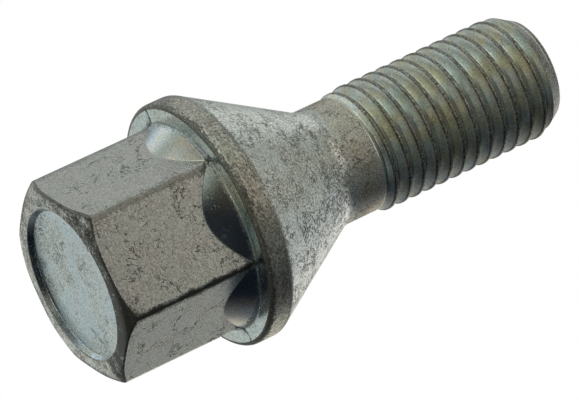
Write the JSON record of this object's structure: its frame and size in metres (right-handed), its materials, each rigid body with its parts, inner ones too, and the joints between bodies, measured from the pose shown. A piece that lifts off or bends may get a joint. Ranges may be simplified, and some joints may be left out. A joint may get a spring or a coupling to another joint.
{
  "type": "wheel bolt",
  "caption": "One-piece wheel bolt with a hexagon head, fixed collar and conical seat, which clamps a road wheel to its hub by a metric fine thread.",
  "frame": {"origin": "on the axis, in the plane of the head's flat end, on which the bolt stands", "axes": "+Z along the axis from the head's end to the threaded tip; a corner of the hexagon points along +X"},
  "size_m": [0.0232, 0.0232, 0.0497],
  "materials": {
    "zinc_plated_steel": "bright zinc plating with a faint blue and yellow tint, satin on the flats, speckled on the collar"
  },
  "bodies": {
    "root": {"wheel_bolt": "zinc_plated_steel"}
  },
  "joints": []
}
